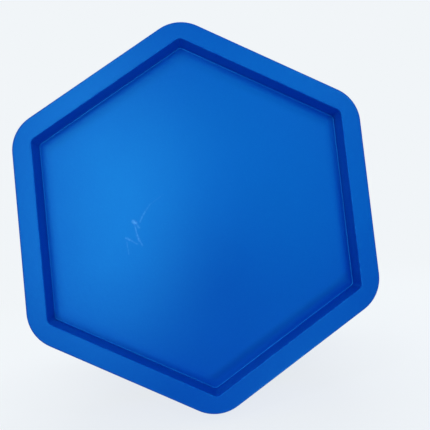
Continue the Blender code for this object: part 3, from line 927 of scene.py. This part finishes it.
def socket_ring(station):
    """A hexagonal section with as many points as the round sections of a screw."""
    points = []
    for i in range(SCREW_STEPS):
        angle = math.tau * i / SCREW_STEPS
        from_flat = (angle % FLAT_ANGLE) - HALF_FLAT
        points.append(polar(SOCKET_APOTHEM / math.cos(from_flat), angle, station))
    return points


def screw_mesh(length):
    """A button-head socket screw with its head's underside at zero and its shank below."""
    profile = [(CROWN_FLAT, HEAD_HEIGHT)]
    for step in range(1, CROWN_STEPS + 1):
        turn = math.pi / 2 * step / CROWN_STEPS
        radius = CROWN_FLAT + (HEAD_RADIUS - CROWN_FLAT) * math.sin(turn)
        profile.append((radius, CROWN_FOOT + (HEAD_HEIGHT - CROWN_FOOT) * math.cos(turn)))
    profile += [
        (HEAD_RADIUS, HEAD_CHAMFER),
        (HEAD_RADIUS - HEAD_CHAMFER, 0.0),
        (SHANK_RADIUS, 0.0),
        (SHANK_RADIUS, SHANK_CHAMFER - length),
        (SHANK_RADIUS - SHANK_CHAMFER, -length),
    ]
    rings = [socket_ring(HEAD_HEIGHT - depth) for depth in (SOCKET_DEPTH, SOCKET_CHAMFER)]
    rings += [circle_ring(radius, station, steps=SCREW_STEPS) for radius, station in profile]
    return lofted("screw", rings)


def add_screws(prefix, circle, first_angle, seat, frame_matrix, material):
    """Six screws on a circle. seat is the station of the heads' undersides in frame_matrix's frame."""
    low, high = station_range(f"{prefix}_1")
    mesh = screw_mesh(high - low - HEAD_HEIGHT)
    for index in range(6):
        angle = first_angle + index * FLAT_ANGLE
        copy = mesh.copy()
        spin = Matrix.Rotation(angle + index * SPIN_STEP, 4, "Z")
        copy.transform(frame_matrix @ Matrix.Translation(polar(circle, angle, seat)) @ spin)
        number = index + 1
        name = f"{prefix}_fine_{number}"
        add_piece(name, copy, "barrel", material, f"{prefix}_{number}")
    bpy.data.meshes.remove(mesh)


def add_disc(name, node, body, material, bore, bore_fillet, edge_fillet, steps=ROUND_STEPS):
    """A flat ring as high and as wide as its CAD node."""
    low, high = station_range(node)
    radius = node_radius(node)
    corners = [
        (bore, low, bore_fillet),
        (radius, low, edge_fillet),
        (radius, high, edge_fillet),
        (bore, high, bore_fillet),
    ]
    add_turned(name, node, body, material, corners, steps)


STUD_RADIUS = 0.004
STUD_HOLE = 0.0045
SEAL_WEB = 0.006
SEAL_DISH_TOP = 0.058
SEAL_DISH_FOOT = 0.056
SEAL_GROOVES = 2
SEAL_GROOVE_PITCH = 0.0055
SEAL_GROOVE = {"reach": 0.0012, "floor": 0.3, "depth": 0.0009, "edge": 0.0003}


def add_seal(material):
    """The lid's rubber plug: a grooved wall that swells against the bore, a lip and a web."""
    low, top = station_range("lid_seal")
    lip = node_radius("lid_seal")
    wall = MOUTH_RADIUS - CLEARANCE
    lip_bottom = COLLAR_TOP + CLEARANCE
    web_top = low + SEAL_WEB
    corners = [(STUD_HOLE, low, 0.0), (wall, low, 0.002)]
    for groove in range(SEAL_GROOVES):
        middle = low + SEAL_GROOVE_PITCH + groove * SEAL_GROOVE_PITCH
        corners += groove_corners(wall, middle, **SEAL_GROOVE)
    corners += [
        (wall, lip_bottom, 0.0005),
        (lip, lip_bottom, 0.0008),
        (lip, top, 0.0012),
        (SEAL_DISH_TOP, top, 0.001),
        (SEAL_DISH_FOOT, web_top, 0.002),
        (STUD_HOLE, web_top, 0.0),
    ]
    add_turned("seal_plug", "lid_seal", "lid", material, corners)


# The bolt's domed head, as (share of its radius, height above its lowest point, fillet)
STUD_DOME = ((0.0, 0.0, 0.0), (0.35, 0.0001, 0.0), (0.7, 0.0007, 0.004), (1.0, 0.0024, 0.0008))
STUD_SHOULDER = 0.004
STUD_PLAIN_LENGTH = 0.012
STUD_TIP = 0.001
STUD_CHAMFER = 0.0008
THREAD_PITCH = 0.00125
THREAD_DEPTH = 0.0006


def add_stud(material):
    """A carriage bolt with a domed head and a threaded end, its thread drawn as rings."""
    low, high = station_range("lid_stud")
    head = node_radius("lid_stud")
    shoulder = low + STUD_SHOULDER
    thread_start = shoulder + STUD_PLAIN_LENGTH
    corners = [(head * share, low + rise, fillet) for share, rise, fillet in STUD_DOME]
    corners += [
        (head, shoulder, 0.0002),
        (STUD_RADIUS, shoulder, 0.0),
        (STUD_RADIUS, thread_start - THREAD_PITCH, 0.0),
    ]
    for turn in range(int((high - STUD_TIP - thread_start) / THREAD_PITCH)):
        base = thread_start + turn * THREAD_PITCH
        corners.append((STUD_RADIUS - THREAD_DEPTH, base, 0.0))
        corners.append((STUD_RADIUS, base + THREAD_PITCH / 2, 0.0))
    corners += [(STUD_RADIUS - STUD_CHAMFER, high, 0.0), (0.0, high, 0.0)]
    add_turned("carriage_bolt", "lid_stud", "lid", material, corners, SMALL_STEPS, False)


COVER_SHEET = 0.002
COVER_DISH = 0.048
COVER_DISH_INSIDE = 0.047
COVER_SLOPE = 0.054


def add_cover(material):
    """The pressed steel cover: a rounded edge, and a dish round the knob."""
    low, high = station_range("lid_cover")
    radius = node_radius("lid_cover")
    rim = high - COVER_SHEET
    corners = [
        (radius, high, 0.0009),
        (radius, rim, 0.0009),
        (COVER_SLOPE, rim, 0.0015),
        (COVER_DISH, low, 0.0035),
        (STUD_HOLE, low, 0.0),
        (STUD_HOLE, low + COVER_SHEET, 0.0),
        (COVER_DISH_INSIDE, low + COVER_SHEET, 0.002),
        (COVER_SLOPE - COVER_SHEET, high, 0.0030),
    ]
    add_turned("pressed_cover", "lid_cover", "cover", material, corners)


KNOB_LOBES = 6
KNOB_STEPS = 180
KNOB_BORE = 0.0073
KNOB_HUB = 0.014
GRIP_RISE = 0.0096
GRIP_BLEND = 0.006
ROOT_FILLET = 0.001
SCALLOP_RADIUS = 0.009
SCALLOP_CIRCLE = 0.032
LOBE_ROUNDING = 0.0016
DISH_RADIUS = 0.017
DISH_FLOOR = 0.016
DISH_MIDDLE = 0.008
DISH_DEPTH = 0.0012
HUB_CHAMFER = 0.0008
BORE_CHAMFER = 0.0006


def lobed_radius(radius, angle):
    """The knob's grip outline: a circle with six scallops, the lobes' corners rounded off."""
    pitch = math.tau / KNOB_LOBES
    lean = (angle + pitch / 2) % pitch - pitch / 2
    across = SCALLOP_CIRCLE * math.sin(lean)
    if abs(across) >= SCALLOP_RADIUS:
        return radius
    bite = SCALLOP_CIRCLE * math.cos(lean) - math.sqrt(SCALLOP_RADIUS**2 - across**2)
    blend = max(LOBE_ROUNDING - abs(bite - radius), 0.0) / LOBE_ROUNDING
    return min(bite, radius) - blend**2 * LOBE_ROUNDING / 4


def grip_ring(point, radius):
    """A section of the grip at a (radius, station) point, its scallops fading out towards the hub."""
    share = (point.x - KNOB_HUB) / (radius - KNOB_HUB - GRIP_BLEND)
    share = max(0.0, min(1.0, share))
    points = []
    for i in range(KNOB_STEPS):
        angle = math.tau * i / KNOB_STEPS
        scallop = radius - lobed_radius(radius, angle)
        points.append(polar(point.x - scallop * share, angle, point.y))
    return points


def add_knob(material):
    """The hand knob: a lobed grip with soft edges and a dished top, on a round hub."""
    low, high = station_range("knob")
    radius = node_radius("knob")
    grip = low + GRIP_RISE
    hub = [
        (KNOB_BORE, station_range("knob_insert")[1] + CLEARANCE),
        (KNOB_BORE, low + BORE_CHAMFER),
        (KNOB_BORE + BORE_CHAMFER, low),
        (KNOB_HUB - HUB_CHAMFER, low),
        (KNOB_HUB, low + HUB_CHAMFER),
        (KNOB_HUB, grip - ROOT_FILLET),
        (KNOB_HUB + ROOT_FILLET * 0.3, grip - ROOT_FILLET * 0.3),
        (KNOB_HUB + ROOT_FILLET, grip),
    ]
    rings = [circle_ring(across, station, steps=KNOB_STEPS) for across, station in hub]
    outline = rounded_path(
        [
            (KNOB_HUB + ROOT_FILLET * 2, grip, 0.0),
            (radius, grip, 0.0028),
            (radius, high, 0.0040),
            (DISH_RADIUS, high, 0.0012),
            (DISH_FLOOR, high - DISH_DEPTH, 0.0010),
            (DISH_MIDDLE, high - DISH_DEPTH, 0.0),
        ]
    )
    rings += [grip_ring(point, radius) for point in outline]
    add_piece("hand_knob", lofted("knob", rings), "knob", material, "knob")


def add_inner_plate(material):
    add_disc("clamp_plate", "lid_inner_plate", "lid", material, STUD_HOLE, 0.0004, 0.0008)


def add_washer(name, node, material, fillet):
    add_disc(name, node, "cover", material, STUD_HOLE, fillet / 2, fillet, WASHER_STEPS)


def add_insert(material):
    bore = STUD_RADIUS + CLEARANCE
    add_disc("threaded_insert", "knob_insert", "knob", material, bore, 0.0004, 0.0004, SMALL_STEPS)


# ---------------- studio

STAGE_COLOUR = (0.880, 0.913, 0.939)
STAGE_RADIUS = 9.0
STAGE_NEAR = 0.25
STAGE_FAR = 0.9
STAGE_GLOW = 0.78
STAGE_LEVEL = 1.10


def mixed_shader(tree, share, first, second):
    """The output of a node that mixes two shaders' outputs."""
    node = tree.nodes.new("ShaderNodeMixShader")
    for socket, source in zip(node.inputs, (share, first, second)):
        tree.links.new(source, socket)
    return node.outputs[0]


def stage_material():
    """Pale matt floor that takes soft shadows near the barrel, fades into the backdrop further out and
    is clear from below.
    """
    material = bpy.data.materials.new("pale_stage")
    material.use_nodes = True
    tree = material.node_tree
    tree.nodes.clear()
    matt = tree.nodes.new("ShaderNodeBsdfDiffuse")
    matt.inputs["Color"].default_value = (*STAGE_COLOUR, 1.0)
    glow = tree.nodes.new("ShaderNodeEmission")
    glow.inputs["Color"].default_value = (*STAGE_COLOUR, 1.0)
    distance = tree.nodes.new("ShaderNodeVectorMath")
    distance.operation = "LENGTH"
    place = tree.nodes.new("ShaderNodeTexCoord").outputs["Object"]
    tree.links.new(place, distance.inputs[0])
    away = distance.outputs["Value"]
    share = map_range(tree, away, (STAGE_NEAR, STAGE_FAR), (STAGE_GLOW, 1.0), "SMOOTHSTEP")
    level = map_range(tree, away, (STAGE_NEAR, STAGE_FAR), (STAGE_LEVEL, 1.0), "SMOOTHSTEP")
    tree.links.new(level, glow.inputs["Strength"])
    above = mixed_shader(tree, share, matt.outputs[0], glow.outputs[0])
    below = tree.nodes.new("ShaderNodeBsdfTransparent").outputs[0]
    backfacing = tree.nodes.new("ShaderNodeNewGeometry").outputs["Backfacing"]
    output = tree.nodes.new("ShaderNodeOutputMaterial")
    tree.links.new(mixed_shader(tree, backfacing, above, below), output.inputs["Surface"])
    return material


def add_stage():
    """A wide round floor at the barrel's lowest point."""
    work = bmesh.new()
    bmesh.ops.create_circle(work, cap_ends=True, radius=STAGE_RADIUS, segments=ROUND_STEPS)
    bmesh.ops.translate(work, vec=(0.0, 0.0, cad_box[0].z), verts=work.verts)
    mesh = bpy.data.meshes.new("studio_floor")
    work.to_mesh(mesh)
    work.free()
    mesh.materials.append(stage_material())
    floor = new_object("studio_floor", mesh)
    floor.visible_diffuse = False
    floor.visible_glossy = False
    floor.visible_shadow = False


def add_softbox(name, centre, target, width, height, radiance, colour=(1.0, 1.0, 1.0)):
    """A rectangular light of even brightness, aimed at the target and unseen by the camera."""
    light = bpy.data.lights.new(name, "AREA")
    light.shape = "RECTANGLE"
    light.size = width
    light.size_y = height
    light.energy = radiance * math.pi * width * height
    light.color = colour
    lamp = new_object(name, light)
    lamp.location = centre
    aim = Vector(target) - Vector(centre)
    lamp.rotation_euler = aim.to_track_quat("-Z", "Y").to_euler()
    lamp.visible_camera = False


LIGHT_DISTANCE = 1.0


def add_front_softbox(name, left, right, bottom, top, radiance, colour):
    """A softbox in the plane LIGHT_DISTANCE in front of the closed end, parallel to it."""
    y = RIM_Y - LIGHT_DISTANCE
    x = (left + right) / 2
    z = (bottom + top) / 2
    add_softbox(name, (x, y, z), (x, 0.0, z), right - left, top - bottom, radiance, colour)


# Softboxes in front of the closed end, as (left, right, bottom, top, brightness). They don't overlap,
# and they leave a dimmer stretch below the camera, where whoever takes the picture stands.
KEY_SOFTBOXES = {
    "key_core": (-0.36, -0.035, 0.08, 0.35, 3.2),
    "key_core_middle": (-0.36, -0.06, -0.04, 0.08, 3.3),
    "key_core_low": (-0.36, -0.105, -0.22, -0.04, 3.1),
    "key_left": (-0.56, -0.36, -0.22, 0.35, 1.0),
    "key_far_left": (-0.95, -0.56, -0.30, 0.60, 0.5),
    "key_upper_left": (-0.48, -0.035, 0.35, 0.60, 1.0),
    "key_lower_left": (-0.40, -0.12, -0.42, -0.22, 0.8),
}
FILL_SOFTBOXES = {
    "fill_upper_right": (-0.035, 0.42, 0.08, 0.60, 1.08),
    "fill_right": (0.16, 0.42, -0.12, 0.08, 1.02),
    "fill_far_right": (0.42, 0.60, -0.14, 0.30, 1.04),
    "fill_lower_right": (0.16, 0.42, -0.42, -0.12, 0.48),
    "fill_near": (-0.06, 0.16, -0.04, 0.08, 0.34),
}
KEY_COLOUR = (1.15, 1.0, 1.0)
FILL_COLOUR = (0.35, 0.98, 1.0)

# Small lamps aimed at the closed end, as (x, distance in front of it, z, brightness)
LAMPS = {
    "lamp_upper_left": (-0.44, 1.0, 0.78, 10.0),
    "lamp_upper_right": (0.60, 0.9, 0.60, 7.5),
    "lamp_lower_right": (0.44, 1.0, -0.78, 18.0),
}
LAMP_SIZE = 0.22


def add_lights():
    for name, box in KEY_SOFTBOXES.items():
        add_front_softbox(name, *box, colour=KEY_COLOUR)
    for name, box in FILL_SOFTBOXES.items():
        add_front_softbox(name, *box, colour=FILL_COLOUR)
    for name, (x, away, z, radiance) in LAMPS.items():
        add_softbox(name, (x, RIM_Y - away, z), (0.0, RIM_Y, 0.0), LAMP_SIZE, LAMP_SIZE, radiance)
    overhead = (0.1, 0.5, 1.4)
    add_softbox("top", overhead, target=(0.0, 0.0, 0.0), width=1.4, height=1.2, radiance=1.6)


WORLD_SPAN = (-0.3, 0.5)
WORLD_LIGHT = (0.25, 0.6)


def add_world():
    """Pale to the camera. As light it is dim in front of the barrel and brighter behind it."""
    world = bpy.data.worlds.new("studio")
    world.use_nodes = True
    bpy.context.scene.world = world
    tree = world.node_tree
    background = tree.nodes["Background"]
    background.inputs["Color"].default_value = (*STAGE_COLOUR, 1.0)
    split = tree.nodes.new("ShaderNodeSeparateXYZ")
    direction = tree.nodes.new("ShaderNodeTexCoord").outputs["Generated"]
    tree.links.new(direction, split.inputs[0])
    level = map_range(tree, split.outputs["Y"], WORLD_SPAN, WORLD_LIGHT)
    strength = tree.nodes.new("ShaderNodeMix")
    seen = tree.nodes.new("ShaderNodeLightPath").outputs["Is Camera Ray"]
    tree.links.new(seen, strength.inputs["Factor"])
    tree.links.new(level, strength.inputs[NUMBER_FIRST])
    strength.inputs[NUMBER_SECOND].default_value = 1.0
    tree.links.new(strength.outputs[NUMBER_RESULT], background.inputs["Strength"])


# The photograph's viewpoint, about the rim plane's centre
CAMERA_DISTANCE = 0.2754
CAMERA_SHIFT = (-0.0104, -0.0005)
CAMERA_TURN = (-2.82, -2.73, -6.14)
CAMERA_LENS = 37.67
CAMERA_CLIP = (0.01, 50.0)


def add_camera():
    """A close camera near the barrel's axis, turned by CAMERA_TURN's degrees."""
    turn = Matrix.Identity(3)
    for angle, axis in zip(CAMERA_TURN, "XYZ"):
        turn = turn @ Matrix.Rotation(math.radians(angle), 3, axis)
    rim_centre_from_camera = Vector((*CAMERA_SHIFT, CAMERA_DISTANCE))
    right, down, ahead = turn
    from_axes = Matrix(((1.0, 0.0, 0.0), (0.0, 0.0, 1.0), (0.0, -1.0, 0.0)))
    place = from_axes @ (-(turn.transposed() @ rim_centre_from_camera))
    axes = Matrix((from_axes @ right, -(from_axes @ down), -(from_axes @ ahead))).transposed()
    lens = bpy.data.cameras.new("camera")
    lens.lens = CAMERA_LENS
    lens.clip_start, lens.clip_end = CAMERA_CLIP
    camera = new_object("camera", lens)
    camera.matrix_world = Matrix.Translation(place + Vector((0.0, RIM_Y, 0.0))) @ axes.to_4x4()
    bpy.context.scene.camera = camera


def add_barrel(zinc, seal_black):
    """The pieces that stay together: shell, liner, mouth plate, track rings, tyres and screws."""
    blue = moulded_blue().material
    tyre_black = rubber("tyre_rubber", TYRE_BLACK, dust=0.7).material
    add_shell(closed_end_blue("shell_blue").material)
    add_liner(seal_black)
    add_mouth_plate(blue)
    seat = PLATE_LOW.y - RIM_Y + PLATE_THICKNESS + CLEARANCE
    add_screws("mouth_screw", MOUTH_SCREW_CIRCLE, HALF_FLAT, seat, Matrix.Identity(4), zinc)
    for name in ("front", "rear"):
        add_track_ring(name, blue)
        add_tyre(name, tyre_black)
        prefix = f"ring_{name}_screw"
        add_screws(prefix, RING_SCREW_CIRCLE, 0.0, RING_WEB + CLEARANCE, ring_matrix(name), zinc)


def add_lid(zinc, seal_black):
    """The pieces that come away: seal, plate, bolt, cover, washers and knob."""
    steel = turned_metal("turned_steel", STEEL, roughness=0.30).material
    brass = turned_metal("brass", BRASS, roughness=0.28).material
    add_seal(seal_black)
    add_inner_plate(steel)
    add_stud(zinc)
    add_cover(steel)
    add_washer("rubber_washer", "stud_seal_washer", seal_black, 0.0005)
    add_washer("steel_washer", "flat_washer", zinc, 0.0002)
    add_knob(knob_plastic("knob_black").material)
    add_insert(brass)


def build():
    zinc = zinc_plate("zinc_plate").material
    seal_black = rubber("seal_rubber", SEAL_BLACK, dust=0.5).material
    add_barrel(zinc, seal_black)
    add_lid(zinc, seal_black)
    add_stage()
    add_lights()
    add_world()
    add_camera()


build()
bpy.context.scene.view_settings.view_transform = "Standard"
